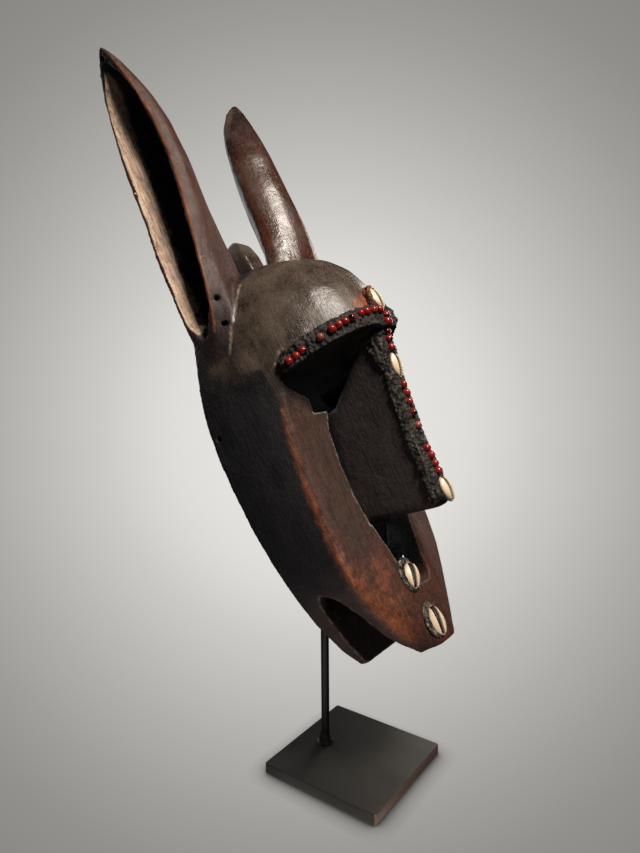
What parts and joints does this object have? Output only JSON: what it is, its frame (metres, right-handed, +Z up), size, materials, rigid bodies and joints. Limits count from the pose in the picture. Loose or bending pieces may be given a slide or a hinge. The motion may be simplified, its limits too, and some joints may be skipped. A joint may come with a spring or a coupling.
{
  "type": "carved wooden hyena mask on a rod stand",
  "caption": "Dark carved wooden animal mask with tall scooped ears, nose blade, seeds and cowries set in wax, held up by a bent rod on a square steel plate.",
  "frame": {"origin": "centre of the steel plate's underside, on the table", "axes": "+Z up; the mask's face looks towards -Y and leans back towards +Y; +X across the mask, its ears at -X and +X"},
  "size_m": [0.192, 0.326, 0.6717],
  "materials": {
    "mask_wood": "dark brown to black oiled wood with old patina, worn reddish edges and tool marks",
    "black_wax": "black crumbly beeswax",
    "red_seed": "glossy red seed coat",
    "cowrie_shell": "worn cream shell with a brown slit",
    "black_rod_steel": "black paint, satin, over welded steel",
    "plate_steel": "dark bronze-grey steel with a soft sheen and worn brown edges"
  },
  "bodies": {
    "root": {"carved_mask": "mask_wood", "brow_wax": "black_wax", "nose_wax": "black_wax", "muzzle_wax_pad": "black_wax", "chin_wax_pad": "black_wax", "brow_seed_01": "red_seed", "brow_seed_02": "red_seed", "brow_seed_03": "red_seed", "brow_seed_04": "red_seed", "brow_seed_05": "red_seed", "brow_seed_06": "red_seed", "brow_seed_07": "red_seed", "brow_seed_08": "red_seed", "brow_seed_09": "red_seed", "brow_seed_10": "red_seed", "brow_seed_11": "red_seed", "brow_seed_12": "red_seed", "brow_seed_13": "red_seed", "brow_seed_14": "red_seed", "brow_seed_15": "red_seed", "brow_seed_16": "red_seed", "brow_seed_17": "red_seed", "brow_seed_18": "red_seed", "brow_seed_19": "red_seed", "nose_seed_01": "red_seed", "nose_seed_02": "red_seed", "nose_seed_03": "red_seed", "nose_seed_04": "red_seed", "nose_seed_05": "red_seed", "nose_seed_06": "red_seed", "nose_seed_07": "red_seed", "nose_seed_08": "red_seed", "nose_seed_09": "red_seed", "nose_seed_10": "red_seed", "nose_seed_11": "red_seed", "nose_seed_12": "red_seed", "forehead_cowrie": "cowrie_shell", "nose_cowrie": "cowrie_shell", "nose_tip_cowrie": "cowrie_shell", "muzzle_cowrie": "cowrie_shell", "chin_cowrie": "cowrie_shell", "rod": "black_rod_steel", "weld_bead": "black_rod_steel", "base_plate": "plate_steel"}
  },
  "joints": []
}
